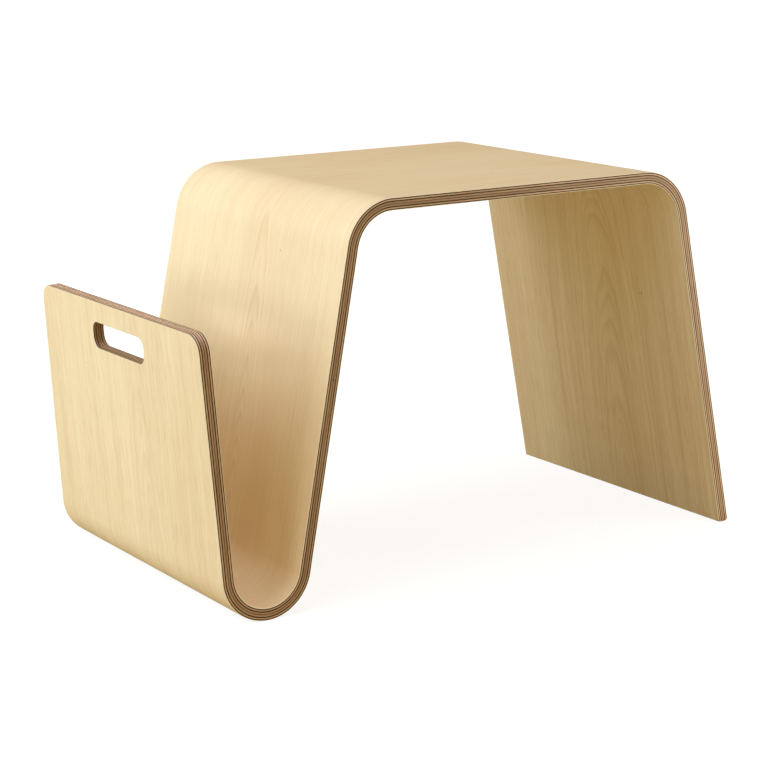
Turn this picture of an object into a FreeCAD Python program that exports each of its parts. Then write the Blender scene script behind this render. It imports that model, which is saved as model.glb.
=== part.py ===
"""A side table with a magazine pocket, bent from one ribbon of moulded plywood.

The ribbon runs down the pocket's front panel, round a U-bend that stands on the floor, up the middle
wall, over a bend, along the table top, over a second bend and down the outer leg. It is glued up from
eleven veneers, and each veneer is a body of its own: one closed outline in the XZ plane, padded across
the depth and trimmed.

The under side of the ribbon is the pocket's outside, the table's underside and the inside of the outer
leg. Its top side is the pocket's inside, the table top and the outside of the leg. The long edges are
trimmed to a slight taper, so that the ribbon is widest where its U-bend stands on the floor.

The origin is on the floor, under the middle of the whole length and depth. X runs from the pocket to the
outer leg, Y across the depth and Z up. Millimetres and degrees.
"""
import FreeCAD
import Part
import math
import os
import re
import Sketcher

# name, value and what it is
DRIVING = [
    ("table_height", 405, "floor to the face of the table top"),
    ("floor_depth", 364, "width of the ribbon across Y where the pocket stands"),
    ("panel_depth", 347, "width at the top edge of the front panel"),
    ("table_depth", 352.5, "width of the table top"),
    ("foot_depth", 362, "width at the foot of the outer leg"),
    ("pocket_height", 291.5, "floor to the front panel's outer top edge"),
    ("pocket_lean", 4.0, "front panel from vertical, leaning out"),
    ("wall_lean", 11.2, "middle wall from vertical, leaning to the table"),
    ("leg_lean", 10.9, "outer leg from vertical, leaning out"),
    ("pocket_bend", 50, "U-bend's outer radius"),
    ("wall_bend", 41.5, "radius inside the bend over the middle wall"),
    ("leg_bend", 46.5, "radius inside the bend over the outer leg"),
    ("top_flat", 323, "flat length of the table top between its bends"),
    ("face_veneer", 0.6, "thickness of each face veneer, grain along"),
    ("cross_veneer", 0.8, "thickness of each cross veneer, grain across"),
    ("long_veneer", 1.8, "thickness of each inner long veneer, grain along"),
    ("core_veneer", 2.0, "thickness of each core veneer, grain along"),
    ("centre_veneer", 0.6, "thickness of the centre veneer, grain across"),
    ("slot_length", 113, "hand slot, across the panel"),
    ("slot_height", 27.5, "hand slot, along the panel"),
    ("slot_corner", 11, "hand slot's corner radius"),
    ("slot_drop", 22.3, "panel's top edge to the slot's upper edge"),
    ("panel_corner", 19, "radius of the front panel's two top corners"),
    ("foot_round", 4, "radius along the foot's outer edge"),
    ("clearance", 5, "how far a cutter stands clear of the wood"),
]

# the veneers from the under side to the top side, and the cell that holds each one's thickness
VENEERS = [
    ("under_face_veneer", "face_veneer"),
    ("under_cross_veneer", "cross_veneer"),
    ("under_long_veneer", "long_veneer"),
    ("under_inner_cross_veneer", "cross_veneer"),
    ("under_core_veneer", "core_veneer"),
    ("centre_cross_veneer", "centre_veneer"),
    ("top_core_veneer", "core_veneer"),
    ("top_inner_cross_veneer", "cross_veneer"),
    ("top_long_veneer", "long_veneer"),
    ("top_cross_veneer", "cross_veneer"),
    ("top_face_veneer", "face_veneer"),
]
FIRST_ROUNDED = "top_core_veneer"  # the foot's round edge reaches this veneer and those above it

# cells that follow from the driving ones; a reach is an X distance
WORKED_OUT = [
    ("ply", f"level_{len(VENEERS)}", "thickness of the whole ribbon"),
    ("panel_run", "(pocket_height - pocket_bend * (1 - sin(pocket_lean))) / cos(pocket_lean)",
     "straight length of the front panel"),
    ("panel_reach", "pocket_bend * cos(pocket_lean) + panel_run * sin(pocket_lean)",
     "panel's outer top edge to the U-bend's centre"),
    ("wall_centre_z", "table_height - ply - wall_bend", "height of the wall bend's centre"),
    ("wall_reach",
     "(pocket_bend + wall_bend + (wall_centre_z - pocket_bend) * sin(wall_lean)) / cos(wall_lean)",
     "U-bend's centre to the wall bend's centre"),
    ("leg_centre_z", "table_height - ply - leg_bend", "height of the leg bend's centre"),
    ("foot_reach", "(leg_bend + ply + leg_centre_z * sin(leg_lean)) / cos(leg_lean)",
     "leg bend's centre to the foot's outer edge, were it sharp"),
    ("foot_loss", "foot_round * ((1 + sin(leg_lean)) / cos(leg_lean) - 1)",
     "what rounding the foot's edge takes off the length"),
    ("whole_length", "panel_reach + wall_reach + top_flat + foot_reach - foot_loss",
     "length over everything"),
    ("pocket_x", "panel_reach - whole_length / 2", "X of the U-bend's centre"),
    ("wall_x", "pocket_x + wall_reach", "X of the wall bend's centre"),
    ("leg_x", "wall_x + top_flat", "X of the leg bend's centre"),
    ("under_z", "table_height - ply", "height of the table's underside"),
    ("corner_y", "panel_depth / 2 + panel_corner * (floor_depth - panel_depth) / 2 / pocket_height",
     "half the panel's width where its round corners begin"),
    ("foot_round_x", "leg_x + foot_reach - foot_loss - foot_round",
     "X of the centre of the foot's round edge"),
]

FUNCTIONS = ("sin", "cos")  # words in a formula that aren't cells
START, END, MIDDLE = 1, 2, 3  # the point numbers that a sketch constraint takes
ROOT = (-1, 1)  # a sketch's own origin
X_AXIS = FreeCAD.Vector(1, 0, 0)
Z_AXIS = FreeCAD.Vector(0, 0, 1)


def make_sheet(doc):
    """The spreadsheet: the driving dimensions as plain numbers, then what follows from them."""
    sheet = doc.addObject("Spreadsheet::Sheet", "Dimensions")
    rows = [(name, str(value), note) for name, value, note in DRIVING]
    rows.append(("level_0", "0", "under side of the ribbon"))
    for k, (veneer, cell) in enumerate(VENEERS):
        rows.append((f"level_{k + 1}", f"=level_{k} + {cell}", f"upper side of {veneer}"))
    rows += [(name, "=" + formula, note) for name, formula, note in WORKED_OUT]
    for row, (name, text, note) in enumerate(rows, start=1):
        sheet.set(f"A{row}", name)
        sheet.set(f"B{row}", text)
        sheet.set(f"C{row}", note)
        sheet.setAlias(f"B{row}", name)
    doc.recompute()
    return sheet


def bound(formula):
    """The formula as another object writes it, with the sheet's name before each cell."""
    def cell(word):
        return word[0] if word[0] in FUNCTIONS else "Dimensions." + word[0]
    return re.sub(r"[a-z_]\w*", cell, formula)


class Outline:
    """A sketch of one closed outline or more, whose points and sizes are formulas of the sheet's cells."""

    def __init__(self, body, name, plane, sheet):
        origin_plane = [f for f in body.Origin.OriginFeatures if f.Role == plane][0]
        self.sheet = sheet
        self.sketch = body.newObject("Sketcher::SketchObject", f"{body.Name}_{name}")
        self.sketch.AttachmentSupport = [(origin_plane, "")]
        self.sketch.MapMode = "FlatFace"
        self.count = 0

    def value(self, formula):
        """What a formula of cells comes to now."""
        return float(self.sheet.evalExpression(formula))

    def vector(self, x, y):
        return FreeCAD.Vector(self.value(x), self.value(y), 0)

    def drive(self, kind, *target, formula):
        """A dimension that follows the formula."""
        index = self.sketch.addConstraint(Sketcher.Constraint(kind, *target, self.value(formula)))
        self.count += 1
        name = f"size_{self.count}"
        self.sketch.renameConstraint(index, name)
        self.sketch.setExpression(f"Constraints.{name}", bound(formula))

    def pin(self, geometry, point, x, y):
        """Holds a point at X and Y from the sketch's origin."""
        self.drive("DistanceX", *ROOT, geometry, point, formula=x)
        self.drive("DistanceY", *ROOT, geometry, point, formula=y)

    def line(self, start, end):
        return self.sketch.addGeometry(Part.LineSegment(start, end), False)

    def arc(self, centre, radius, first, last):
        """An arc counter-clockwise from the first to the last angle, in degrees."""
        circle = Part.Circle(centre, Z_AXIS, radius)
        arc = Part.ArcOfCircle(circle, math.radians(first), math.radians(last))
        return self.sketch.addGeometry(arc, False)

    def join(self, one, one_point, other, other_point, kind="Coincident"):
        self.sketch.addConstraint(Sketcher.Constraint(kind, one, one_point, other, other_point))

    def end_of(self, geometry, point):
        return self.sketch.getPoint(geometry, point)

    def closed_by(self, arc, first_end, last_end, corners, radius):
        """Straight sides through the corners, from one end of the arc to its other end."""
        places = [self.vector(x, y) for x, y in corners]
        sides = [self.line(one, other) for one, other in zip(places, places[1:])]
        self.join(arc, first_end, sides[0], START)
        self.join(arc, last_end, sides[-1], END)
        for side, after in zip(sides, sides[1:]):
            self.join(side, END, after, START)
        for side, corner in zip(sides, corners):
            self.pin(side, START, *corner)
        self.pin(sides[-1], END, *corners[-1])
        self.drive("Radius", arc, formula=radius)

    def polygon(self, corners):
        """Straight sides round the corners, each an X and a Y formula."""
        places = [self.vector(x, y) for x, y in corners]
        sides = [self.line(place, places[(k + 1) % len(places)]) for k, place in enumerate(places)]
        for k, side in enumerate(sides):
            self.join(side, END, sides[(k + 1) % len(sides)], START)
            self.pin(side, START, *corners[k])
        return sides


def ribbon_side(outline, level, centres=None):
    """One side of a veneer, from the panel's top edge to the foot, at this level above the ribbon's under
    side. Gives the first line, the last line and the three arcs."""
    pocket_lean = outline.value("pocket_lean")
    wall_lean = outline.value("wall_lean")
    leg_lean = outline.value("leg_lean")
    bends = [
        ("pocket_x", "pocket_bend", f"pocket_bend - {level}", 180 + pocket_lean, 360 - wall_lean),
        ("wall_x", "wall_centre_z", f"wall_bend + {level}", 90, 180 - wall_lean),
        ("leg_x", "leg_centre_z", f"leg_bend + {level}", leg_lean, 90),
    ]
    arcs = [outline.arc(outline.vector(x, z), outline.value(radius), first, last)
            for x, z, radius, first, last in bends]
    top = (f"pocket_x - panel_reach + {level} * cos(pocket_lean)",
           f"pocket_height + {level} * sin(pocket_lean)")
    foot = (f"leg_x + foot_reach - (ply - {level}) / cos(leg_lean)", "0")
    pocket, wall, leg = arcs
    # the pocket's arc starts at the panel and ends at the wall; the other two arcs end nearer the panel
    lines = [
        outline.line(outline.vector(*top), outline.end_of(pocket, START)),
        outline.line(outline.end_of(pocket, END), outline.end_of(wall, END)),
        outline.line(outline.end_of(wall, START), outline.end_of(leg, END)),
        outline.line(outline.end_of(leg, START), outline.vector(*foot)),
    ]
    meetings = [(0, END, pocket, START), (1, START, pocket, END), (1, END, wall, END),
                (2, START, wall, START), (2, END, leg, END), (3, START, leg, START)]
    for line, line_point, arc, arc_point in meetings:
        outline.join(lines[line], line_point, arc, arc_point, kind="Tangent")
    for k, (arc, (x, z, radius, _, _)) in enumerate(zip(arcs, bends)):
        outline.drive("Radius", arc, formula=radius)
        if centres is None:
            outline.pin(arc, MIDDLE, x, z)
        else:
            outline.join(arc, MIDDLE, centres[k], MIDDLE)
    outline.pin(lines[0], START, *top)
    outline.pin(lines[-1], END, *foot)
    return lines[0], lines[-1], arcs


def ribbon_outline(body, sheet, low, high):
    """A veneer's outline in the XZ plane, between two levels."""
    outline = Outline(body, "outline", "XZ_Plane", sheet)
    first, last, centres = ribbon_side(outline, low)
    other_first, other_last, _ = ribbon_side(outline, high, centres)
    for one, other, point in ((first, other_first, START), (last, other_last, END)):
        end = outline.line(outline.end_of(one, point), outline.end_of(other, point))
        outline.join(one, point, end, START)
        outline.join(other, point, end, END)
    return outline.sketch


def pad(body, sketch):
    """The whole width of the ribbon, half of it each side of the XZ plane."""
    feature = body.newObject("PartDesign::Pad", f"{body.Name}_pad")
    feature.Profile = sketch
    feature.SideType = "Symmetric"
    feature.setExpression("Length", bound("floor_depth"))
    return feature


def cut(doc, body, sketch, length):
    """Cuts the sketch's outlines out of the body, half of the length each side of the sketch."""
    before = body.Shape.Volume
    feature = body.newObject("PartDesign::Pocket", f"{sketch.Name}_cut")
    feature.Profile = sketch
    feature.SideType = "Symmetric"
    feature.setExpression("Length", bound(length))
    doc.recompute()
    if body.Shape.Volume >= before:
        raise RuntimeError(f"{feature.Name} cuts nothing")


def edge_trim(doc, body, sheet, name, near_x, far_x, floor_depth, upper_depth, upper_z):
    """Trims both long edges between two X places: the width goes evenly from floor_depth on the floor to
    upper_depth at upper_z and stays there above it."""
    outline = Outline(body, name, "YZ_Plane", sheet)
    outline.sketch.AttachmentOffset = FreeCAD.Placement()
    outline.sketch.setExpression("AttachmentOffset.Base.z", bound(f"(({near_x}) + ({far_x})) / 2"))
    outside = "(floor_depth / 2 + clearance)"
    above = "table_height + clearance"
    for sign in ("", "-"):
        outline.polygon([
            (f"{sign}{floor_depth} / 2", "0"),
            (f"{sign}{upper_depth} / 2", upper_z),
            (f"{sign}{upper_depth} / 2", above),
            (f"{sign}{outside}", above),
            (f"{sign}{outside}", "0"),
        ])
    cut(doc, body, outline.sketch, f"({far_x}) - ({near_x})")


def panel_openings(doc, body, sheet):
    """The hand slot and the round top corners of the front panel, cut square to the panel. The sketch lies in
    the middle of the ply, with its origin on the panel's top edge and Y up along the panel."""
    outline = Outline(body, "openings", "YZ_Plane", sheet)
    sketch = outline.sketch
    lean = FreeCAD.Rotation(-X_AXIS, outline.value("pocket_lean"))
    sketch.AttachmentOffset = FreeCAD.Placement(FreeCAD.Vector(), lean)
    height = "pocket_height + ply / 2 * sin(pocket_lean)"
    reach = "pocket_x - panel_reach + ply / 2 * cos(pocket_lean)"
    sketch.setExpression("AttachmentOffset.Base.y", bound(height))
    sketch.setExpression("AttachmentOffset.Base.z", bound(reach))
    sketch.setExpression("AttachmentOffset.Rotation.Angle", bound("pocket_lean"))
    slot(outline)
    for side in (1, -1):
        round_corner(outline, side)
    cut(doc, body, sketch, "ply + 2 * clearance")


def slot(outline):
    """A rounded rectangle across the middle of the panel."""
    reach = "(slot_length / 2 - slot_corner)"
    upper = "-slot_drop - slot_corner"
    lower = "-slot_drop - slot_height + slot_corner"
    centres = [(reach, upper, 0), ("-" + reach, upper, 90), ("-" + reach, lower, 180), (reach, lower, 270)]
    arcs = [outline.arc(outline.vector(x, y), outline.value("slot_corner"), angle, angle + 90)
            for x, y, angle in centres]
    for arc, after, (x, y, _) in zip(arcs, arcs[1:] + arcs[:1], centres):
        side = outline.line(outline.end_of(arc, END), outline.end_of(after, START))
        outline.join(arc, END, side, START, kind="Tangent")
        outline.join(side, END, after, START, kind="Tangent")
        outline.pin(arc, MIDDLE, x, y)
        outline.drive("Radius", arc, formula="slot_corner")


def round_corner(outline, side):
    """What is cut away outside the round corner at one end of the panel's top edge."""
    sign = "" if side > 0 else "-"
    edge = f"{sign}corner_y"
    inner = f"{sign}(corner_y - panel_corner)"
    outside = f"{sign}(floor_depth / 2 + clearance)"
    first = 0 if side > 0 else 90
    centre = outline.vector(inner, "-panel_corner")
    arc = outline.arc(centre, outline.value("panel_corner"), first, first + 90)
    top_end, edge_end = (END, START) if side > 0 else (START, END)
    corners = [
        (inner, "0"),
        (inner, "clearance"),
        (outside, "clearance"),
        (outside, "-panel_corner"),
        (edge, "-panel_corner"),
    ]
    outline.closed_by(arc, top_end, edge_end, corners, "panel_corner")


def foot_edge(doc, body, sheet):
    """Rounds the outer edge of the foot."""
    outline = Outline(body, "foot_edge", "XZ_Plane", sheet)
    lean = outline.value("leg_lean")
    centre = outline.vector("foot_round_x", "foot_round")
    arc = outline.arc(centre, outline.value("foot_round"), 270, 360 + lean)
    reach = "(foot_round + clearance)"
    corners = [
        ("foot_round_x", "0"),
        ("foot_round_x", "-clearance"),
        (f"foot_round_x + {reach}", "-clearance"),
        (f"foot_round_x + {reach} * cos(leg_lean)", f"foot_round + {reach} * sin(leg_lean)"),
        ("foot_round_x + foot_round * cos(leg_lean)", "foot_round + foot_round * sin(leg_lean)"),
    ]
    outline.closed_by(arc, START, END, corners, "foot_round")
    cut(doc, body, outline.sketch, "floor_depth + 2 * clearance")


def make_veneer(doc, sheet, name, low, high, rounded):
    """One veneer of the ribbon, between two levels above its under side."""
    body = doc.addObject("PartDesign::Body", name)
    body.Label = name
    doc.recompute()
    sketch = ribbon_outline(body, sheet, low, high)
    pad(body, sketch)
    doc.recompute()
    half = "(whole_length / 2 + clearance)"
    for trim in (
        ("panel_trim", f"-{half}", "pocket_x", "floor_depth", "panel_depth", "pocket_height"),
        ("table_trim", "pocket_x", "leg_x", "floor_depth", "table_depth", "under_z"),
        ("leg_trim", "leg_x", half, "foot_depth", "table_depth", "under_z"),
    ):
        edge_trim(doc, body, sheet, *trim)
    panel_openings(doc, body, sheet)
    if rounded:
        foot_edge(doc, body, sheet)
    return body


def check(doc, bodies):
    """Stops on any object that didn't work out, and on any veneer that isn't one valid solid."""
    for thing in doc.Objects:
        if "Invalid" in thing.State or "Error" in thing.State:
            raise RuntimeError(f"{thing.Name} failed: {thing.State}")
    for body in bodies:
        shape = body.Shape
        if shape.isNull() or not shape.isValid() or len(shape.Solids) != 1:
            raise RuntimeError(f"{body.Label} isn't one valid solid")
        for feature in body.Group:
            if feature.isDerivedFrom("Sketcher::SketchObject") and feature.solve() != 0:
                raise RuntimeError(f"{feature.Name} doesn't solve")


def main():
    doc = FreeCAD.newDocument("magazine_table")
    sheet = make_sheet(doc)
    bodies = []
    rounded = False
    for k, (name, _) in enumerate(VENEERS):
        rounded = rounded or name == FIRST_ROUNDED
        bodies.append(make_veneer(doc, sheet, name, f"level_{k}", f"level_{k + 1}", rounded))
    doc.recompute()
    check(doc, bodies)
    os.makedirs("parts", exist_ok=True)
    for body in bodies:
        box = body.Shape.BoundBox
        print(f"{body.Label}: {body.Shape.Volume / 1000:.1f} cm3, X {box.XMin:.2f} to {box.XMax:.2f}, "
              f"Y {box.YMin:.2f} to {box.YMax:.2f}, Z {box.ZMin:.2f} to {box.ZMax:.2f}")
        body.Shape.exportStep(f"parts/{body.Label}.step")


main()
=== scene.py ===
import math

import bpy
import numpy as np
from mathutils import Matrix, Vector


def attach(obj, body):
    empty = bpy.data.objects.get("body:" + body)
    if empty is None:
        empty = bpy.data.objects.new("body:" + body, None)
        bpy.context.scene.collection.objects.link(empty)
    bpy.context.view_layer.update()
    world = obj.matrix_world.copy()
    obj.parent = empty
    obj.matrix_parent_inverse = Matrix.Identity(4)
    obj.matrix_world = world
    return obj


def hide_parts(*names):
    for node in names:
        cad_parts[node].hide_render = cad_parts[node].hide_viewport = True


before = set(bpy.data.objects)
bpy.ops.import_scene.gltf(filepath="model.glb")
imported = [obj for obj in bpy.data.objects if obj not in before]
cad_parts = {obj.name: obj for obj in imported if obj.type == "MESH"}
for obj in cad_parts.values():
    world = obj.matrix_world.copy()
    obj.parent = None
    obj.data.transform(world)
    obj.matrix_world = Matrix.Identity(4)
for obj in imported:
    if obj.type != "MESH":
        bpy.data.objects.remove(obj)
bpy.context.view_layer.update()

# The magazine table is one ribbon of bent plywood. Each of its eleven veneers is built again
# here as a fine mesh of its own, with the wood's coordinates on it: across the ribbon, along
# it, and up through the ply. The sizes are the CAD's, in metres and radians.
MM = 0.001
TABLE_HEIGHT = 405 * MM
FLOOR_DEPTH = 364 * MM
PANEL_DEPTH = 347 * MM
TABLE_DEPTH = 352.5 * MM
FOOT_DEPTH = 362 * MM
POCKET_HEIGHT = 291.5 * MM
POCKET_LEAN = math.radians(4.0)
WALL_LEAN = math.radians(11.2)
LEG_LEAN = math.radians(10.9)
POCKET_BEND = 50 * MM
WALL_BEND = 41.5 * MM
LEG_BEND = 46.5 * MM
TOP_FLAT = 323 * MM
SLOT_LENGTH = 113 * MM
SLOT_HEIGHT = 27.5 * MM
SLOT_CORNER = 11 * MM
SLOT_DROP = 22.3 * MM
PANEL_CORNER = 19 * MM
FOOT_ROUND = 4 * MM

# each veneer's node, thickness, the way its grain runs, and its material slot, from the under
# side of the ribbon to its top side
ALONG, ACROSS = "along", "across"
VENEERS = [
    ("under_face_veneer", 0.6 * MM, ALONG, "face_veneer"),
    ("under_cross_veneer", 0.8 * MM, ACROSS, "cross_veneer"),
    ("under_long_veneer", 1.8 * MM, ALONG, "long_veneer"),
    ("under_inner_cross_veneer", 0.8 * MM, ACROSS, "cross_veneer"),
    ("under_core_veneer", 2.0 * MM, ALONG, "core_veneer"),
    ("centre_cross_veneer", 0.6 * MM, ACROSS, "cross_veneer"),
    ("top_core_veneer", 2.0 * MM, ALONG, "core_veneer"),
    ("top_inner_cross_veneer", 0.8 * MM, ACROSS, "cross_veneer"),
    ("top_long_veneer", 1.8 * MM, ALONG, "long_veneer"),
    ("top_cross_veneer", 0.8 * MM, ACROSS, "cross_veneer"),
    ("top_face_veneer", 0.6 * MM, ALONG, "face_veneer"),
]
LEVELS = [0.0]
for _, thickness, _, _ in VENEERS:
    LEVELS.append(LEVELS[-1] + thickness)
PLY = LEVELS[-1]

ARRIS = 0.45 * MM  # radius that the face veneers' sharp edges are eased to
ARRIS_STEPS = 3
WANDER = 0.07 * MM  # how far a glue line strays from its level
WANDER_WAVES = 5
WOOD_GAP = 0.31  # between two veneers' coordinates through the ply: no two look the same
BEND_STEP = math.radians(2.2)  # about the turn between two rows round a bend
FLAT_STEP = 14 * MM  # about the distance between two rows elsewhere
CORNER_STEPS = 9  # rows round a quarter of a corner
SIDE_COLUMNS = 9  # columns from the slot's end to the ribbon's long edge, on a face veneer
MIDDLE_COLUMNS = 9
INNER_SIDE_COLUMNS = 3  # the same on a veneer whose faces are glued over
INNER_MIDDLE_COLUMNS = 2
ROUND_FOOT_PARTS = 4  # rings through a veneer that the foot's round edge cuts
ROUND_FOOT_REACH = FOOT_ROUND * 1.3
SHARP_ANGLE = math.radians(38)
SEED = 11

# what follows from the sizes, as in the CAD
PANEL_RUN = (POCKET_HEIGHT - POCKET_BEND * (1 - math.sin(POCKET_LEAN))) / math.cos(POCKET_LEAN)
PANEL_REACH = POCKET_BEND * math.cos(POCKET_LEAN) + PANEL_RUN * math.sin(POCKET_LEAN)
UNDER_Z = TABLE_HEIGHT - PLY
WALL_Z = UNDER_Z - WALL_BEND
WALL_RISE = WALL_Z - POCKET_BEND
WALL_REACH = (POCKET_BEND + WALL_BEND + WALL_RISE * math.sin(WALL_LEAN)) / math.cos(WALL_LEAN)
LEG_Z = UNDER_Z - LEG_BEND
FOOT_REACH = (LEG_BEND + PLY + LEG_Z * math.sin(LEG_LEAN)) / math.cos(LEG_LEAN)
FOOT_LOSS = FOOT_ROUND * ((1 + math.sin(LEG_LEAN)) / math.cos(LEG_LEAN) - 1)
WHOLE_LENGTH = PANEL_REACH + WALL_REACH + TOP_FLAT + FOOT_REACH - FOOT_LOSS
POCKET_X = PANEL_REACH - WHOLE_LENGTH / 2
WALL_X = POCKET_X + WALL_REACH
LEG_X = WALL_X + TOP_FLAT
CORNER_Y = PANEL_DEPTH / 2 + PANEL_CORNER * (FLOOR_DEPTH - PANEL_DEPTH) / 2 / POCKET_HEIGHT
SLOT_REACH = SLOT_LENGTH / 2 - SLOT_CORNER


class Station:
    """A place along the ribbon: its distance along the middle of the ply, the point on the
    under side, the direction up through the ply and the one along the ribbon, both in the XZ
    plane, and how much it belongs to each trim."""

    def __init__(self, along, x, z, normal, trims, kind="plain", turn=0.0):
        self.along = along
        self.x = x
        self.z = z
        self.normal = normal
        self.trims = trims
        self.kind = kind  # plain, corner, slot_top, slot, slot_bottom or foot
        self.turn = turn  # the angle round a corner, where there is one

    @property
    def tangent(self):
        return self.normal[1], -self.normal[0]


def smooth(t):
    t = min(max(t, 0.0), 1.0)
    return t * t * (3 - 2 * t)


def spaced(start, end, step):
    """Places from start to end, evenly and about a step apart, both ends in."""
    count = max(1, round((end - start) / step))
    return [start + (end - start) * k / count for k in range(count + 1)]


def panel_places():
    """Distances down the panel from its top edge, with what each row is for."""
    rows = []
    for k in range(CORNER_STEPS + 1):
        turn = math.pi / 2 * k / CORNER_STEPS
        rows.append((PANEL_CORNER * (1 - math.cos(turn)), "corner", turn))
    for k in range(CORNER_STEPS + 1):
        turn = math.pi / 2 * k / CORNER_STEPS
        down = SLOT_DROP + SLOT_CORNER * (1 - math.cos(turn))
        rows.append((down, "slot_top" if k == 0 else "slot", turn))
    for k in range(CORNER_STEPS, -1, -1):
        turn = math.pi / 2 * k / CORNER_STEPS
        down = SLOT_DROP + SLOT_HEIGHT - SLOT_CORNER * (1 - math.cos(turn))
        rows.append((down, "slot_bottom" if k == 0 else "slot", -turn))
    for down in spaced(SLOT_DROP + SLOT_HEIGHT, PANEL_RUN, FLAT_STEP)[1:]:
        rows.append((down, "plain", 0.0))
    return rows


def make_stations():
    """The rows of the ribbon's grid, from the panel's top edge to the foot."""
    stations = []
    panel, table, leg = (1, 0, 0), (0, 1, 0), (0, 0, 1)
    middle = PLY / 2
    # down the panel
    sin_p, cos_p = math.sin(POCKET_LEAN), math.cos(POCKET_LEAN)
    top_x, top_z = POCKET_X - PANEL_REACH, POCKET_HEIGHT
    for down, kind, turn in panel_places():
        x, z = top_x + down * sin_p, top_z - down * cos_p
        stations.append(Station(down, x, z, (cos_p, sin_p), panel, kind, turn))
    along = PANEL_RUN
    # round the U-bend, whose trim goes over from the panel's to the table's in its middle third
    first, last = math.pi + POCKET_LEAN, 2 * math.pi - WALL_LEAN
    for angle in spaced(first, last, BEND_STEP)[1:]:
        share = smooth((angle - first) / (last - first) * 3 - 1)
        c, s = math.cos(angle), math.sin(angle)
        stations.append(Station(
            along + (angle - first) * (POCKET_BEND - middle),
            POCKET_X + POCKET_BEND * c, POCKET_BEND + POCKET_BEND * s,
            (-c, -s), (1 - share, share, 0)))
    along = stations[-1].along
    # up the wall
    c, s = math.cos(WALL_LEAN), math.sin(WALL_LEAN)
    start = stations[-1]
    run = (WALL_Z + WALL_BEND * s - start.z) / c
    for up in spaced(0, run, FLAT_STEP)[1:]:
        stations.append(Station(along + up, start.x + up * s, start.z + up * c, (-c, s), table))
    along += run
    # over the two upper bends, with the table top between them
    first = math.pi - WALL_LEAN
    for angle in spaced(0, first - math.pi / 2, BEND_STEP)[1:]:
        c, s = math.cos(first - angle), math.sin(first - angle)
        stations.append(Station(
            along + angle * (WALL_BEND + middle),
            WALL_X + WALL_BEND * c, WALL_Z + WALL_BEND * s, (c, s), table))
    along = stations[-1].along
    for step in spaced(0, TOP_FLAT, FLAT_STEP)[1:]:
        stations.append(Station(along + step, WALL_X + step, UNDER_Z, (0, 1), table))
    along += TOP_FLAT
    for angle in spaced(0, math.pi / 2 - LEG_LEAN, BEND_STEP)[1:]:
        c, s = math.cos(math.pi / 2 - angle), math.sin(math.pi / 2 - angle)
        stations.append(Station(
            along + angle * (LEG_BEND + middle),
            LEG_X + LEG_BEND * c, LEG_Z + LEG_BEND * s, (c, s), leg))
    along = stations[-1].along
    # down the leg, to where its under side meets the floor
    c, s = math.cos(LEG_LEAN), math.sin(LEG_LEAN)
    start = stations[-1]
    run = start.z / c
    for down in spaced(0, run - FOOT_ROUND * 2, FLAT_STEP)[1:]:
        stations.append(Station(along + down, start.x + down * s, start.z - down * c, (c, s), leg))
    stations.append(Station(along + run, start.x + run * s, 0.0, (c, s), leg, "foot"))
    return stations


def half_width(station, z):
    """Half the ribbon's trimmed width at a station, at height z."""
    # each trim's depth on the floor, its depth at the top, and how high that is
    ends = (
        (FLOOR_DEPTH, PANEL_DEPTH, POCKET_HEIGHT),
        (FLOOR_DEPTH, TABLE_DEPTH, UNDER_Z),
        (FOOT_DEPTH, TABLE_DEPTH, UNDER_Z),
    )
    half = 0.0
    for share, (low, high, top) in zip(station.trims, ends):
        half += share * (low + (high - low) * min(z / top, 1.0)) / 2
    return half


def foot_reach(level):
    """How far past the foot's own station a level of the ply runs before the floor or the round
    edge ends it."""
    lean = LEG_LEAN
    to_floor = level * math.tan(lean)
    over = level - (PLY - FOOT_ROUND)
    centre_x = LEG_X + FOOT_REACH - FOOT_LOSS - FOOT_ROUND
    floor_x = LEG_X + FOOT_REACH - (PLY - level) / math.cos(lean)
    if floor_x <= centre_x:
        return to_floor
    # the round edge's centre, seen along the leg from the foot's station
    foot_x = LEG_X + FOOT_REACH - PLY / math.cos(lean)
    centre = (centre_x - foot_x) * math.sin(lean) - FOOT_ROUND * math.cos(lean)
    return centre + math.sqrt(max(FOOT_ROUND ** 2 - over ** 2, 0.0))


class Wander:
    """How each glue line strays from its level, the same for the veneers on both sides of it."""

    def __init__(self):
        rng = np.random.default_rng(SEED)
        self.waves = []
        for _ in LEVELS:
            # cycles along and across, phase and height
            self.waves.append([
                (rng.uniform(15, 150), rng.uniform(-25, 25),
                 rng.uniform(0, 2 * math.pi), rng.uniform(0.3, 1.0))
                for _ in range(WANDER_WAVES)
            ])

    def at(self, k, along, y):
        if k in (0, len(LEVELS) - 1):
            return 0.0
        total = sum(a * math.sin(f * along + g * y + p) for f, g, p, a in self.waves[k])
        return WANDER * total / 2


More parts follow.
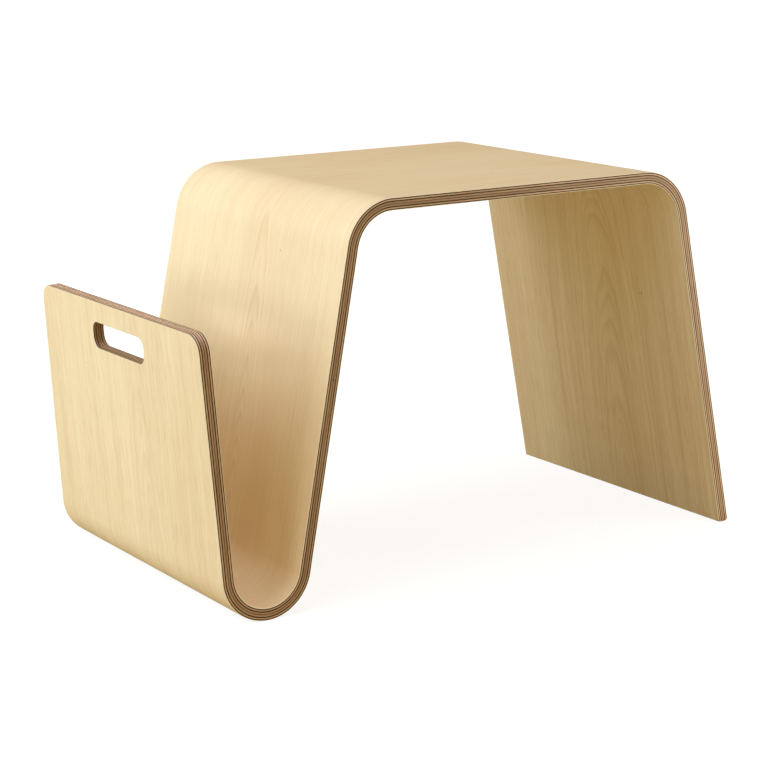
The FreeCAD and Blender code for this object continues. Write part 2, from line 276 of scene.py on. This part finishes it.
class Veneer:
    """One veneer's mesh: a grid on each face and rings of wall round its edge and the hand slot."""

    def __init__(self, number, stations, wander):
        self.number = number
        self.name, _, self.grain, _ = VENEERS[number]
        self.stations = stations
        self.wander = wander
        self.low, self.high = LEVELS[number], LEVELS[number + 1]
        self.is_under = number == 0
        self.is_top = number == len(VENEERS) - 1
        face = self.is_under or self.is_top
        self.side = SIDE_COLUMNS if face else INNER_SIDE_COLUMNS
        self.middle = MIDDLE_COLUMNS if face else INNER_MIDDLE_COLUMNS
        self.columns = 2 * self.side + self.middle
        self.rings = self.make_rings()
        self.verts, self.wood, self.index = [], [], {}
        self.faces, self.ends, self.walls = [], [], []
        self.outward = {}

    def make_rings(self):
        """Level and inset of each ring of the edge, from the under side up."""
        low, high = self.low, self.high
        turns = [math.pi / 2 * k / ARRIS_STEPS for k in range(ARRIS_STEPS + 1)]
        if self.is_under:
            rings = [(low + ARRIS * (1 - math.sin(t)), ARRIS * (1 - math.cos(t)))
                     for t in reversed(turns)]
            return rings + [(high, 0.0)]
        if self.is_top:
            rings = [(high - ARRIS * (1 - math.sin(t)), ARRIS * (1 - math.cos(t)))
                     for t in turns]
            return [(low, 0.0)] + rings
        parts = ROUND_FOOT_PARTS if high > PLY - ROUND_FOOT_REACH else 1
        return [(low + (high - low) * k / parts, 0.0) for k in range(parts + 1)]

    def level_at(self, level, along, y):
        """A level with its glue line's wander, which fades evenly through the veneer."""
        share = (level - self.low) / (self.high - self.low)
        low = self.wander.at(self.number, along, y)
        high = self.wander.at(self.number + 1, along, y)
        return level + low * (1 - share) + high * share

    def inner(self, station):
        """Half the length of the middle block at a station: the slot's own where the slot is."""
        if station.kind == "slot":
            return SLOT_REACH + SLOT_CORNER * math.sin(abs(station.turn))
        return SLOT_REACH

    def place(self, row, column, ring):
        """The point, and the wood's coordinates there."""
        station = self.stations[row]
        level, inset = self.rings[ring]
        nx, nz = station.normal
        tx, tz = station.tangent
        outer = half_width(station, station.z + nz * level)
        if station.kind == "corner":
            outer = CORNER_Y - PANEL_CORNER + PANEL_CORNER * math.sin(station.turn)
        inner = self.inner(station)
        if column <= self.side:
            y = -outer + (outer - inner) * column / self.side
        elif column < self.side + self.middle:
            y = inner * (2 * (column - self.side) / self.middle - 1)
        else:
            y = inner + (outer - inner) * (column - self.side - self.middle) / self.side
        forward = foot_reach(level) if station.kind == "foot" else 0.0
        out = self.outward.get((row, column))
        if out and inset:
            forward -= inset * out[0]
            y -= inset * out[1]
        along = station.along + forward
        level = self.level_at(level, along, y)
        x = station.x + nx * level + tx * forward
        z = station.z + nz * level + tz * forward
        return (x, y, max(z, 0.0)), (y, along, level + self.number * WOOD_GAP)

    def vertex(self, row, column, ring):
        key = (row, column, ring)
        if key not in self.index:
            self.index[key] = len(self.verts)
            point, wood = self.place(row, column, ring)
            self.verts.append(point)
            self.wood.append(wood)
        return self.index[key]

    def find_loops(self):
        """The two loops of grid corners that walls stand on, with the way out of the wood at
        each corner."""
        rows = len(self.stations)
        last = self.columns
        out = self.outward
        for row, station in enumerate(self.stations):
            turn = station.turn if station.kind == "corner" else math.pi / 2
            end = 1.0 if station.kind == "foot" else -math.cos(turn)
            out[(row, 0)] = (end, -math.sin(turn))
            out[(row, last)] = (end, math.sin(turn))
        for column in range(1, last):
            out[(0, column)] = (-1.0, 0.0)
            out[(rows - 1, column)] = (1.0, 0.0)
        loop = [(0, c) for c in range(last)] + [(r, last) for r in range(rows - 1)]
        loop += [(rows - 1, c) for c in range(last, 0, -1)]
        loop += [(r, 0) for r in range(rows - 1, 0, -1)]
        near, far = self.side, self.side + self.middle
        top = next(r for r, s in enumerate(self.stations) if s.kind == "slot_top")
        bottom = next(r for r, s in enumerate(self.stations) if s.kind == "slot_bottom")
        for row in range(top, bottom + 1):
            turn = abs(self.stations[row].turn)
            way = 1.0 if self.stations[row].turn > 0 or row == top else -1.0
            out[(row, near)] = (way * math.cos(turn), math.sin(turn))
            out[(row, far)] = (way * math.cos(turn), -math.sin(turn))
        for column in range(near + 1, far):
            out[(top, column)] = (1.0, 0.0)
            out[(bottom, column)] = (-1.0, 0.0)
        slot = [(top, c) for c in range(near, far)] + [(r, far) for r in range(top, bottom)]
        slot += [(bottom, c) for c in range(far, near, -1)]
        slot += [(r, near) for r in range(bottom, top, -1)]
        self.hole = (top, bottom, near, far)
        return loop, slot

    def build(self):
        loop, slot = self.find_loops()
        top, bottom, near, far = self.hole
        last_ring = len(self.rings) - 1
        for row in range(len(self.stations) - 1):
            for column in range(self.columns):
                if top <= row < bottom and near <= column < far:
                    continue
                corners = [(row, column), (row + 1, column),
                           (row + 1, column + 1), (row, column + 1)]
                self.add([self.vertex(*c, last_ring) for c in corners], 0.0, False)
                self.add([self.vertex(*c, 0) for c in reversed(corners)], 0.0, False)
        for ring_loop, flip in ((loop, False), (slot, True)):
            for one, other in zip(ring_loop, ring_loop[1:] + ring_loop[:1]):
                forward = (abs(self.outward[one][0]) + abs(self.outward[other][0])) / 2
                if "foot" in (self.stations[one[0]].kind, self.stations[other[0]].kind):
                    forward = 1.0 if one[0] == other[0] else 0.0
                end = forward ** 2 if self.grain == ALONG else 1 - forward ** 2
                for ring in range(last_ring):
                    quad = [self.vertex(*one, ring), self.vertex(*other, ring),
                            self.vertex(*other, ring + 1), self.vertex(*one, ring + 1)]
                    self.add(quad if flip else quad[::-1], end, True)
        return self.make_object()

    def add(self, corners, end, wall):
        self.faces.append(corners)
        self.ends.append(end)
        self.walls.append(wall)

    def make_object(self):
        mesh = bpy.data.meshes.new(self.name)
        mesh.from_pydata(self.verts, [], self.faces)
        mesh.validate()
        wood = mesh.attributes.new("wood", "FLOAT_VECTOR", "POINT")
        wood.data.foreach_set("vector", np.array(self.wood, np.float32).ravel())
        end = mesh.attributes.new("end_grain", "FLOAT", "FACE")
        end.data.foreach_set("value", np.array(self.ends, np.float32))
        wall = mesh.attributes.new("wall", "FLOAT", "FACE")
        wall.data.foreach_set("value", np.array(self.walls, np.float32))
        mesh.shade_smooth()
        mesh.set_sharp_from_angle(angle=SHARP_ANGLE)
        mark_wall_edges(mesh, self.walls)
        obj = bpy.data.objects.new(self.name + "_wood", mesh)
        bpy.context.scene.collection.objects.link(obj)
        return obj


def mark_wall_edges(mesh, walls):
    """Splits the shading where a wall leaves a face, so that the face is flat up to its arris."""
    count = np.zeros(len(mesh.edges), int)
    for polygon in mesh.polygons:
        if walls[polygon.index]:
            for loop in polygon.loop_indices:
                count[mesh.loops[loop].edge_index] += 1
    sharp = mesh.attributes.get("sharp_edge")
    sharp = sharp or mesh.attributes.new("sharp_edge", "BOOLEAN", "EDGE")
    values = np.zeros(len(mesh.edges), bool)
    sharp.data.foreach_get("value", values)
    values |= count == 1
    sharp.data.foreach_set("value", values)


class Nodes:
    """A material's or a world's node tree, built by calls that take numbers or sockets."""

    def __init__(self, data):
        self.data = data
        data.use_nodes = True
        self.tree = data.node_tree
        self.tree.nodes.clear()

    def add(self, kind, inputs=(), **settings):
        node = self.tree.nodes.new(kind)
        for key, value in settings.items():
            setattr(node, key, value)
        for key, value in dict(inputs).items():
            self.feed(node.inputs[key], value)
        return node

    def feed(self, socket, value):
        if isinstance(value, bpy.types.NodeSocket):
            self.tree.links.new(value, socket)
        elif isinstance(value, (tuple, list)) and len(value) == 3 and socket.type == "RGBA":
            socket.default_value = (*value, 1.0)
        else:
            socket.default_value = value

    def math(self, operation, a, b=0.0, c=0.0):
        return self.add("ShaderNodeMath", {0: a, 1: b, 2: c}, operation=operation).outputs[0]

    def vector_math(self, operation, a, b):
        return self.add("ShaderNodeVectorMath", {0: a, 1: b}, operation=operation).outputs

    def scaled(self, vector, factors):
        return self.vector_math("MULTIPLY", vector, factors)[0]

    def noise(self, vector, detail=2.0, roughness=0.5):
        node = self.add("ShaderNodeTexNoise", {
            "Vector": vector, "Scale": 1.0, "Detail": detail, "Roughness": roughness})
        return node.outputs["Fac"]

    def figure(self, vector, noise):
        """A noise of FACE_NOISES in the wood's coordinates."""
        cycles, detail, roughness, _ = noise
        return self.noise(self.scaled(vector, cycles), detail, roughness)

    def remap(self, value, low, high, to_low=0.0, to_high=1.0):
        node = self.add("ShaderNodeMapRange", {
            "Value": value, "From Min": low, "From Max": high,
            "To Min": to_low, "To Max": to_high}, interpolation_type="SMOOTHSTEP")
        return node.outputs["Result"]

    def mix(self, share, a, b):
        node = self.add("ShaderNodeMix", data_type="RGBA")
        self.feed(node.inputs["Factor"], share)
        self.feed(node.inputs[6], a)
        self.feed(node.inputs[7], b)
        return node.outputs[2]

    def layer(self, colour, mask, share, over):
        """A colour laid over another where the mask is, with at most the share."""
        return self.mix(self.math("MULTIPLY", mask, share), colour, over)

    def spots(self, vector, places):
        """Round spots, each a centre and a radius."""
        total = 0.0
        for centre, radius in places:
            gap = self.vector_math("DISTANCE", vector, centre)["Value"]
            spot = self.remap(gap, radius * SPOT_CORE, radius, 1.0, 0.0)
            total = self.math("MAXIMUM", total, spot)
        return total

    def ramp(self, value, stops):
        """A grey curve through the stops, each a place and a value."""
        node = self.add("ShaderNodeValToRGB", {"Fac": value})
        elements = node.color_ramp.elements
        while len(elements) > 1:
            elements.remove(elements[-1])
        for k, (place, grey) in enumerate(stops):
            element = elements[0] if k == 0 else elements.new(place)
            element.position = place
            element.color = (grey, grey, grey, 1)
        return node.outputs["Color"]

    def wood(self):
        """The wood's own coordinates, whole and as across, along and through."""
        vector = self.add("ShaderNodeAttribute", attribute_name="wood").outputs["Vector"]
        parts = self.add("ShaderNodeSeparateXYZ", {0: vector}).outputs
        return vector, parts[0], parts[1], parts[2]

    def value_of(self, name):
        """A value that the mesh's faces carry."""
        return self.add("ShaderNodeAttribute", attribute_name=name).outputs["Fac"]

    def finish(self, colour, roughness, height, relief, **coat):
        bump = self.add("ShaderNodeBump", {
            "Height": height, "Strength": 1.0, "Distance": relief})
        shader = self.add("ShaderNodeBsdfPrincipled", {
            "Base Color": colour, "Roughness": roughness, "Normal": bump.outputs["Normal"]})
        for key, value in coat.items():
            self.feed(shader.inputs[key.replace("_", " ")], value)
        self.add("ShaderNodeOutputMaterial", {"Surface": shader.outputs[0]})
        return self.data


# The face veneers' noises: cycles a metre across, along and through the wood, detail,
# roughness, and the window of the noise that takes effect.
FACE_NOISES = {
    "warp": ((13.0, 3.6, 1.0), 2.0, 0.5, None),
    "ripple": ((60.0, 15.0, 1.0), 2.0, 0.5, None),
    "show": ((22.0, 2.2, 1.0), 1.0, 0.5, (0.32, 0.68)),
    "fibre": ((1900.0, 45.0, 1.0), 3.0, 0.6, (0.42, 0.72)),
    "strand": ((420.0, 9.0, 1.0), 2.0, 0.5, (0.38, 0.68)),
    "band": ((55.0, 1.3, 1.0), 2.0, 0.5, (0.35, 0.75)),
    "drift": ((7.0, 2.4, 1.0), 2.0, 0.5, (0.3, 0.7)),
    "dash": ((950.0, 30.0, 1.0), 2.0, 0.6, (0.54, 0.70)),
    "pores": ((2300.0, 150.0, 1.0), 1.0, 0.5, (0.66, 0.74)),
    "pore_zones": ((30.0, 5.0, 1.0), 1.0, 0.5, (0.42, 0.66)),
}
# how dark the wood is from one growth ring to the next, and what is left of it where it fades
LATE_WOOD = [(0.0, 0.10), (0.12, 0.0), (0.45, 0.15), (0.84, 1.0), (0.93, 0.75), (1.0, 0.10)]
LATE_LEAST = 0.45
PORES_LEAST = 0.1
FIBRE_SHARE, STRAND_SHARE = 0.20, 0.20
# the arris share is how much of the painted highlight goes onto the face veneers' walls
KNOT_SHARE, ARRIS_HIGHLIGHT_SHARE, END_SHARE = 0.75, 0.85, 0.8
PORE_COLOUR = (0.36, 0.22, 0.10)
KNOT_COLOUR = (0.20, 0.10, 0.04)
# painted highlight: the face veneers' walls, their eased arris, are painted paler in place of the
# light that the lacquered edge catches
ARRIS_HIGHLIGHT_COLOUR = (0.98, 0.91, 0.72)
END_COLOUR = (0.30, 0.175, 0.10)
FACE_RELIEF = 0.00003
SPOT_CORE = 0.55  # the part of a knot's or void's radius that is fully dark
HEART_SWAY = (3.1, 0.012)  # radians a metre and width of the log's heart going sideways
RING_YEARS = (70.0, 7.0)  # cycles a metre and size of the change from one ring to another

# The figure of each face: the log's heart (its place across, mean depth, rise and fall, swing
# in radians a metre, and phase), the rings' spacing and unevenness, colours, and shares. A knot
# is its place across and along the wood, and its radius. The late wood fades between two
# places along the ribbon.
TOP_SHEET = {
    "heart": -0.019, "depth": 0.024, "rise": 0.0190, "swing": 3.2, "phase": -1.92,
    "ring": 0.0019, "warp": 0.006, "ripple": 0.0008,
    "warm": (0.83, 0.68, 0.43), "cool": (0.87, 0.75, 0.49), "late": (0.64, 0.45, 0.23),
    "contrast": 0.46, "band": 0.12, "pores": 0.04, "dash": 0.24, "fades": (0.68, 0.76),
    "knots": [((-0.054, 0.676, 0.0), 0.0010)],
}
UNDER_SHEET = {
    "heart": -0.035, "depth": 0.034, "rise": 0.022, "swing": 5.0, "phase": -3.358,
    "ring": 0.0044, "warp": 0.017, "ripple": 0.0020,
    "warm": (0.80, 0.68, 0.45), "cool": (0.85, 0.75, 0.52), "late": (0.58, 0.41, 0.21),
    "contrast": 0.46, "band": 0.18, "pores": 0.10, "dash": 0.50, "fades": (0.50, 0.30),
    "knots": [
        ((-0.096, 1.259, 0.0), 0.0014),
        ((-0.092, 1.260, 0.0), 0.0010),
        ((0.082, 0.072, 0.0), 0.0009),
    ],
}


def growth_rings(n, wood, across, along, sheet):
    """Where a point of the sheet lies between two growth rings, from 0 to 1, for a sheet cut
    from a log whose heart runs under it at a changing depth, which draws arches."""
    wave = n.math("SINE", n.math("MULTIPLY_ADD", along, sheet["swing"], sheet["phase"]))
    depth = n.math("MULTIPLY_ADD", wave, sheet["rise"], sheet["depth"])
    sway = n.math("SINE", n.math("MULTIPLY_ADD", along, HEART_SWAY[0], sheet["phase"]))
    sideways = n.math("SUBTRACT", n.math("SUBTRACT", across, sheet["heart"]),
                      n.math("MULTIPLY", sway, HEART_SWAY[1]))
    squares = n.math("ADD", n.math("POWER", sideways, 2.0), n.math("POWER", depth, 2.0))
    radius = n.math("SQRT", squares)
    for key in ("warp", "ripple"):
        uneven = n.math("SUBTRACT", n.figure(wood, FACE_NOISES[key]), 0.5)
        radius = n.math("MULTIPLY_ADD", uneven, sheet[key], radius)
    point = n.add("ShaderNodeCombineXYZ", {0: n.math("MULTIPLY", radius, RING_YEARS[0])})
    years = n.math("MULTIPLY", n.noise(point.outputs[0], detail=1.0), RING_YEARS[1])
    return n.math("FRACT", n.math("MULTIPLY_ADD", radius, 1 / sheet["ring"], years))


def face_material(name, sheet):
    """Pale lacquered face veneer: arches and fine lines of growth rings, fibres, short pores
    and a broad drift of colour."""
    n = Nodes(bpy.data.materials.new(name))
    wood, across, along, _ = n.wood()
    noises = {key: n.figure(wood, FACE_NOISES[key])
              for key in FACE_NOISES if key not in ("warp", "ripple")}

    def seen(key, least=0.0):
        return n.remap(noises[key], *FACE_NOISES[key][3], least, 1.0)

    late = n.ramp(growth_rings(n, wood, across, along, sheet), LATE_WOOD)
    late = n.math("MULTIPLY", late, seen("show", LATE_LEAST))
    late = n.math("MULTIPLY", late, n.remap(along, *sheet["fades"], 1.0, LATE_LEAST))
    pores = n.math("MULTIPLY", seen("pores"), seen("pore_zones", PORES_LEAST))
    colour = n.mix(seen("drift"), sheet["cool"], sheet["warm"])
    for mask, share in (
            (seen("band"), sheet["band"]), (late, sheet["contrast"]),
            (seen("strand"), STRAND_SHARE), (seen("fibre"), FIBRE_SHARE),
            (seen("dash"), sheet["dash"])):
        colour = n.layer(colour, mask, share, sheet["late"])
    colour = n.layer(colour, pores, sheet["pores"], PORE_COLOUR)
    knots = n.spots(n.scaled(wood, (1.0, 1.0, 0.0)), sheet["knots"])
    colour = n.layer(colour, knots, KNOT_SHARE, KNOT_COLOUR)
    # painted highlight along the face veneers' walls and arris
    colour = n.layer(colour, n.value_of("wall"), ARRIS_HIGHLIGHT_SHARE, ARRIS_HIGHLIGHT_COLOUR)
    colour = n.layer(colour, n.value_of("end_grain"), END_SHARE, END_COLOUR)
    fibre = noises["fibre"]
    roughness = n.math("MULTIPLY_ADD", pores, 0.2, 0.40)
    roughness = n.math("MULTIPLY_ADD", fibre, 0.12, roughness)
    height = n.math("MULTIPLY_ADD", fibre, 0.35, n.math("MULTIPLY", late, 0.4))
    height = n.math("SUBTRACT", height, pores)
    return n.finish(colour, roughness, height, FACE_RELIEF,
                    Coat_Weight=0.12, Coat_Roughness=0.35)


# An inner veneer's colours on its edges, pale and dark along its fibres, then pale and dark
# where they are cut across, and how dark it is beside its glue lines.
EDGES = {
    "cross_veneer": (
        (0.06, 0.030, 0.016), (0.03, 0.015, 0.008),
        (0.030, 0.013, 0.006), (0.010, 0.005, 0.002), 0.9),
    "inner_cross_veneer": (
        (0.26, 0.13, 0.07), (0.16, 0.08, 0.04),
        (0.030, 0.013, 0.006), (0.010, 0.005, 0.002), 0.9),
    "centre_cross_veneer": (
        (0.22, 0.10, 0.05), (0.14, 0.06, 0.03),
        (0.30, 0.18, 0.10), (0.14, 0.08, 0.04), 0.1),
    "long_veneer": (
        (0.88, 0.61, 0.41), (0.58, 0.37, 0.22),
        (0.92, 0.66, 0.45), (0.70, 0.46, 0.28), 0.9),
    "core_veneer": (
        (0.62, 0.41, 0.25), (0.36, 0.22, 0.13),
        (0.92, 0.66, 0.45), (0.70, 0.46, 0.28), 0.55),
}
FIBRE_CYCLES, FIBRE_LONG_CYCLES = 2600.0, 60.0  # in a metre, across the fibres and along them
GLUE_COLOUR = (0.024, 0.011, 0.005)
GLUE_STAIN = (0.00014, 0.00044)  # how far the glue's stain is whole, and where it ends
GLUE_UNEVEN = 0.0003
PATCH_SHARE = 0.35
# painted shade inside the inner veneers' small gaps
VOID_SHADE_COLOUR = (0.008, 0.004, 0.003)
PIT_COLOUR = (0.03, 0.015, 0.006)
PIT_SHARE = 0.5
EDGE_RELIEF = 0.00005
# painted shade: the slot's walls are painted darker for the shade inside the hand slot; where that
# ends across the ribbon, and where along it
SLOT_SHADE_COLOUR = (0.17, 0.09, 0.024)
SLOT_SHADE_SHARE = 0.50
SLOT_SIDE, SLOT_START, SLOT_END = (0.058, 0.064), (0.012, 0.018), (0.060, 0.070)
# small gaps in the inner veneers, each painted near black for the shade in its hollow: across,
# along and up through the ply, and radius
VOIDS = [
    (-0.1786, 0.565, 0.0064, 0.0010),
    (-0.1786, 0.569, 0.0057, 0.0006),
    (0.103, 0.0, 0.0113, 0.0010),
    (-0.035, 0.0, 0.0010, 0.0008),
    (0.1796, 0.500, 0.0045, 0.0008),
    (0.1784, 1.300, 0.0065, 0.0009),
]


def edge_material(name, number, pale, dark, end_pale, end_dark, seam):
    """The sanded edge of an inner veneer. Its fibres run along or across, and where it was cut
    across them its colour goes over to end grain. Beside its glue lines the wood is darker."""
    n = Nodes(bpy.data.materials.new(name))
    seed = 0.13 * number
    wood, across, along, through = n.wood()
    moved = n.vector_math("ADD", wood, (seed, seed * 1.7, 0.0))[0]
    fine, long = FIBRE_CYCLES, FIBRE_LONG_CYCLES
    if VENEERS[number][2] == ACROSS:
        fine, long = long, fine
    streak = n.noise(n.scaled(moved, (fine, long, 2600.0)), detail=3.0, roughness=0.6)
    broad = n.noise(n.scaled(moved, (fine / 12, long / 6, 500.0)))
    mottle = n.noise(n.scaled(moved, (240.0, 240.0, 300.0)), detail=3.0, roughness=0.65)
    patch = n.noise(n.scaled(moved, (22.0, 22.0, 60.0)), detail=1.0)
    end = n.value_of("end_grain")
    fibres = n.math("MULTIPLY_ADD", broad, 0.6, n.math("MULTIPLY", streak, 0.4))
    side = n.mix(n.remap(fibres, 0.35, 0.65), pale, dark)
    cut = n.mix(n.remap(mottle, 0.35, 0.68), end_pale, end_dark)
    colour = n.mix(end, side, cut)
    colour = n.layer(colour, n.remap(patch, 0.45, 0.75), PATCH_SHARE, dark)

    low, high = (LEVELS[k] + WOOD_GAP * number for k in (number, number + 1))
    to_glue = n.math("MINIMUM", n.math("SUBTRACT", through, low),
                     n.math("SUBTRACT", high, through))
    to_glue = n.math("MULTIPLY_ADD", n.math("SUBTRACT", broad, 0.5), GLUE_UNEVEN, to_glue)
    colour = n.mix(n.remap(to_glue, *GLUE_STAIN, seam, 0.0), colour, GLUE_COLOUR)
    # painted shade on the walls of the hand slot, darker inside it
    in_slot = n.remap(n.math("ABSOLUTE", across), *SLOT_SIDE, 1.0, 0.0)
    beside = n.math("MULTIPLY", n.remap(along, *SLOT_START),
                    n.remap(along, *SLOT_END, 1.0, 0.0))
    colour = n.layer(colour, n.math("MULTIPLY", in_slot, beside), SLOT_SHADE_SHARE, SLOT_SHADE_COLOUR)
    voids = n.spots(wood, [((y, s, level + WOOD_GAP * number), radius)
                           for y, s, level, radius in VOIDS])
    # painted shade: each gap is a near-black spot with a shallow dent of bump, not a hole in the
    # mesh
    colour = n.mix(voids, colour, VOID_SHADE_COLOUR)
    pits = n.noise(n.scaled(moved, (1500.0, 1500.0, 1500.0)), detail=1.0)
    pits = n.math("MULTIPLY", n.remap(pits, 0.62, 0.72), end)
    colour = n.layer(colour, pits, PIT_SHARE, PIT_COLOUR)
    roughness = n.math("MULTIPLY_ADD", mottle, 0.2, 0.42)
    height = n.math("MULTIPLY", streak, 0.5)
    height = n.math("SUBTRACT", height, n.math("MAXIMUM", pits, voids))
    return n.finish(colour, roughness, height, EDGE_RELIEF, Specular_IOR_Level=0.25)


def make_materials():
    """One material for each veneer."""
    made = {
        "under_face_veneer": face_material("face_veneer_under", UNDER_SHEET),
        "top_face_veneer": face_material("face_veneer_top", TOP_SHEET),
    }
    for number, (name, _, _, slot) in enumerate(VENEERS):
        if slot != "face_veneer":
            kind = name.removeprefix("under_").removeprefix("top_")
            made[name] = edge_material(name, number, *EDGES[kind])
    return made


def make_ribbon():
    stations = make_stations()
    wander = Wander()
    materials = make_materials()
    for number, (name, _, _, slot) in enumerate(VENEERS):
        obj = Veneer(number, stations, wander).build()
        obj.data.materials.append(materials[name])
        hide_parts(name)
        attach(obj, "root")


WHITE = (1, 1, 1)
FLOOR_REACH, FLOOR_SIDES = 40.0, 96
# the floor's own glow, by distance from the table, and the colour that shadows fall on
FLOOR_GLOW = {"From Min": 0.6, "From Max": 3.0, "To Min": 0.86, "To Max": 1.0}
FLOOR_COLOUR = (0.26, 0.26, 0.26)
BOUNCE_COLOUR = (0.60, 0.48, 0.24)
AMBIENT_COLOUR, AMBIENT_STRENGTH = (1.0, 0.72, 0.16), 0.24


def split_shader(n, seen, lit):
    """What the camera sees of the stage, and what lights the table."""
    camera = n.add("ShaderNodeLightPath").outputs["Is Camera Ray"]
    mix = n.add("ShaderNodeMixShader", {0: camera, 1: lit.outputs[0], 2: seen.outputs[0]})
    return mix.outputs[0]


def make_floor():
    """A pale floor that stays pale under a soft light."""
    mesh = bpy.data.meshes.new("floor")
    turns = [2 * math.pi * k / FLOOR_SIDES for k in range(FLOOR_SIDES)]
    ring = [(FLOOR_REACH * math.cos(t), FLOOR_REACH * math.sin(t), 0) for t in turns]
    mesh.from_pydata(ring, [], [tuple(range(FLOOR_SIDES))])
    floor = bpy.data.objects.new("floor", mesh)
    bpy.context.scene.collection.objects.link(floor)
    n = Nodes(bpy.data.materials.new("floor"))
    place = n.add("ShaderNodeTexCoord").outputs["Object"]
    away = n.add("ShaderNodeVectorMath", {0: place}, operation="LENGTH").outputs["Value"]
    glow = n.add("ShaderNodeMapRange", {"Value": away, **FLOOR_GLOW}).outputs["Result"]
    own = n.add("ShaderNodeEmission", {"Color": WHITE, "Strength": glow})
    lit = n.add("ShaderNodeBsdfDiffuse", {"Color": FLOOR_COLOUR})
    seen = n.add("ShaderNodeAddShader", {0: own.outputs[0], 1: lit.outputs[0]})
    bounce = n.add("ShaderNodeBsdfDiffuse", {"Color": BOUNCE_COLOUR})
    n.add("ShaderNodeOutputMaterial", {"Surface": split_shader(n, seen, bounce)})
    floor.data.materials.append(n.data)


def make_world():
    """A plain white world, with a dim warm light from all round."""
    n = Nodes(bpy.data.worlds.new("studio"))
    bpy.context.scene.world = n.data
    shown = n.add("ShaderNodeBackground", {"Color": WHITE, "Strength": 1.0})
    ambient = n.add("ShaderNodeBackground", {
        "Color": AMBIENT_COLOUR, "Strength": AMBIENT_STRENGTH})
    n.add("ShaderNodeOutputWorld", {"Surface": split_shader(n, shown, ambient)})


# name, place, size, power and colour of each soft light; all face the table
LIGHTS = [
    ("left_high", (-2.0, 0.15, 1.6), (2.6, 2.0), 33.5, (0.76, 0.84, 1.0)),
    ("left_low", (-2.3, -0.1, 0.3), (1.4, 0.5), 12.0, (0.84, 0.90, 1.0)),
    ("above", (0.0, 0.0, 2.4), (1.6, 1.6), 30.5, (0.85, 0.81, 0.96)),
    ("left_back", (-2.0, 1.1, 1.1), (1.4, 1.0), 14.0, (0.84, 0.94, 1.0)),
    ("back_low", (-0.3, 2.3, 0.4), (1.8, 0.6), 9.5, (1.0, 0.95, 0.83)),
    ("front_right", (0.95, -0.80, 0.16), (0.4, 0.2), 6.5, (0.95, 0.95, 0.86)),
]
AIM = Vector((0.0, 0.0, 0.2))


def make_lights():
    for name, place, (wide, high), power, colour in LIGHTS:
        light = bpy.data.lights.new(name, "AREA")
        light.shape = "RECTANGLE"
        light.size = wide
        light.size_y = high
        light.energy = power
        light.color = colour
        obj = bpy.data.objects.new(name, light)
        obj.location = place
        obj.rotation_euler = (AIM - Vector(place)).to_track_quat("-Z", "Y").to_euler()
        obj.visible_camera = False
        bpy.context.scene.collection.objects.link(obj)


# the camera's place, and which way it looks: yaw from +Y towards +X, pitch down, and roll
CAMERA_PLACE = (-1.276, -1.9298, 0.7041)
CAMERA_YAW = math.radians(33.252)
CAMERA_PITCH = math.radians(13.032)
CAMERA_ROLL = math.radians(-0.417)
CAMERA_LENS = 101.03
CAMERA_SENSOR = 36.0
CAMERA_CLIP_END = 100.0


def make_camera():
    """The camera stands in front and to the left, a little above the table, and looks slightly
    down."""
    yaw, pitch, roll = CAMERA_YAW, CAMERA_PITCH, CAMERA_ROLL
    ahead = Vector((
        math.sin(yaw) * math.cos(pitch), math.cos(yaw) * math.cos(pitch), -math.sin(pitch)))
    right = Vector((math.cos(yaw), -math.sin(yaw), 0))
    up = right.cross(ahead)
    side = right * math.cos(roll) + up * math.sin(roll)
    top = up * math.cos(roll) - right * math.sin(roll)
    data = bpy.data.cameras.new("camera")
    data.sensor_width = CAMERA_SENSOR
    data.lens = CAMERA_LENS
    data.clip_end = CAMERA_CLIP_END
    camera = bpy.data.objects.new("camera", data)
    rows = [(side[k], top[k], -ahead[k], CAMERA_PLACE[k]) for k in range(3)]
    camera.matrix_world = Matrix((*rows, (0, 0, 0, 1)))
    bpy.context.scene.collection.objects.link(camera)
    bpy.context.scene.camera = camera


make_ribbon()
make_floor()
make_world()
make_lights()
make_camera()
bpy.context.scene.view_settings.view_transform = "Standard"
